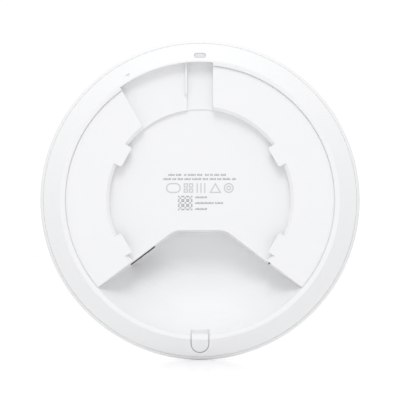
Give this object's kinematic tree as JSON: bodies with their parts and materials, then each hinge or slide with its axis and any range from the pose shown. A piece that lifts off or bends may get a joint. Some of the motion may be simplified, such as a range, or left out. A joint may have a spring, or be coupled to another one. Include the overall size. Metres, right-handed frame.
{
  "type": "ceiling access point",
  "caption": "Round domed ceiling radio unit seen from its rear: twist-lock bracket recess with tabs, cable bay with network port, pull-out cable exit cover, light ring in the dome.",
  "frame": {"origin": "middle of the rear rim plane, where the ceiling or wall bracket locks in", "axes": "the unit stands on edge as on a wall: -Y out of the rear face towards the mounting surface, +Y out of the dome, +Z towards the release slot, -Z towards the cable exit, +X to the right when looking at the rear face"},
  "size_m": [0.16, 0.033, 0.16],
  "materials": {
    "housing_plastic": "fine satin moulded plastic",
    "dome_plastic": "fine satin moulded plastic",
    "light_diffuser": "milky diffuser",
    "clear_guide": "clear acrylic",
    "board": "solder mask over glass laminate",
    "aluminium": "die-cast",
    "tin_plate": "tin plate",
    "screw_steel": "zinc plated",
    "chip_black": "moulded epoxy",
    "thermal_pad": "soft silicone",
    "port_plastic": "moulded",
    "contact_gold": "gold plated",
    "ferrite": "sintered ferrite",
    "winding_tape": "wound wire under tape",
    "capacitor_can": "drawn can",
    "led_body": "clear epoxy",
    "ribbon_film": "polyimide film",
    "socket_plastic": "moulded",
    "button_plastic": "moulded"
  },
  "bodies": {
    "housing": {"rear_housing": "housing_plastic", "front_dome": "dome_plastic", "light_ring": "light_diffuser", "light_guide": "clear_guide", "main_board": "board", "board_screws": "screw_steel", "heat_sink": "aluminium", "heat_sink_screws": "screw_steel", "heat_sink_pads": "thermal_pad", "processor_shield": "tin_plate", "radio_shield": "tin_plate", "processor": "chip_black", "processor_pad": "thermal_pad", "memory_chip": "chip_black", "crystal": "tin_plate", "radio_chips": "chip_black", "radio_pads": "thermal_pad", "flash_chip": "chip_black", "jack_shell": "tin_plate", "jack_insert": "port_plastic", "jack_contacts": "contact_gold", "lan_transformer": "chip_black", "power_transformer_core": "ferrite", "power_transformer_winding": "winding_tape", "power_inductors": "ferrite", "capacitors": "capacitor_can", "reset_switch": "chip_black", "antenna_1": "tin_plate", "antenna_2": "tin_plate", "antenna_3": "tin_plate", "antenna_4": "tin_plate", "led_board": "board", "leds": "led_body", "led_ribbon": "ribbon_film", "ribbon_sockets": "socket_plastic", "led_board_screws": "screw_steel"},
    "cover": {"cable_exit_cover": "housing_plastic"},
    "reset_plunger": {"reset_button": "button_plastic"}
  },
  "joints": [
    {"name": "cover_pull", "type": "slide", "parent": "housing", "child": "cover", "axis": [0, -1, 0], "range_m": [0, 0.012]},
    {"name": "reset_press", "type": "slide", "parent": "housing", "child": "reset_plunger", "axis": [0.6046, 0, 0.7965], "range_m": [0, 0.0003], "stiffness_N_per_m": 2000}
  ]
}
